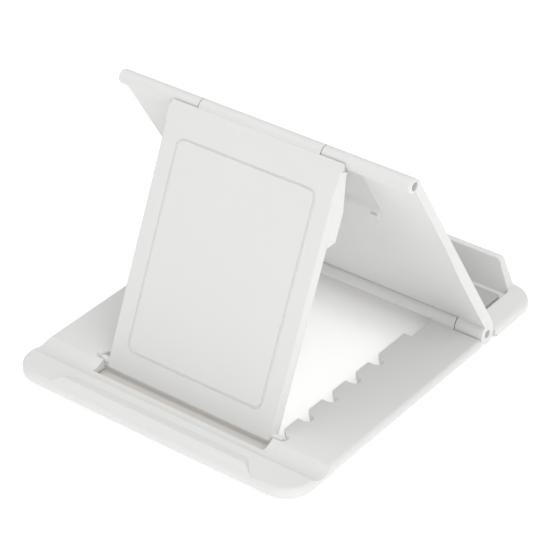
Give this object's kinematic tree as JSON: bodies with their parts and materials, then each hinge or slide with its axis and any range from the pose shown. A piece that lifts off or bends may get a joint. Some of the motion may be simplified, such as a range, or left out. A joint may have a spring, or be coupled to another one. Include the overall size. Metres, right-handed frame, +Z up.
{
  "type": "tablet stand",
  "caption": "Folding tablet stand with a notched base frame, a hinged rest panel and a hinged strut that props it up.",
  "frame": {"origin": "centre of the base at table level", "axes": "+X to the right, +Y from the device side to the strut side, +Z up"},
  "size_m": [0.126, 0.151, 0.0941],
  "materials": {
    "white_plastic": "moulded ABS, fine satin texture",
    "grey_rubber": "soft silicone, matt",
    "foot_rubber": "soft silicone, matt",
    "pin_steel": "cut steel wire"
  },
  "bodies": {
    "base": {"base_frame": "white_plastic", "ledge_pad": "grey_rubber", "foot_front_left": "foot_rubber", "foot_front_right": "foot_rubber", "foot_back_left": "foot_rubber", "foot_back_right": "foot_rubber", "panel_pin_left": "pin_steel", "panel_pin_right": "pin_steel"},
    "panel": {"rest_panel": "white_plastic", "strut_pin_left": "pin_steel", "strut_pin_right": "pin_steel"},
    "strut": {"strut": "white_plastic"}
  },
  "joints": [
    {"name": "panel_hinge", "type": "hinge", "parent": "base", "child": "panel", "pos_m": [0, -0.0411, 0.0047], "axis": [1, 0, 0], "range_deg": [-58.85, 0]},
    {"name": "strut_hinge", "type": "hinge", "parent": "panel", "child": "strut", "pos_m": [0, 0.009, 0.09126], "axis": [1, 0, 0], "range_deg": [-54.85, 0]}
  ],
  "couplings": [
    {"joint": "strut_hinge", "follows": "panel_hinge", "ratio": 0.932}
  ]
}
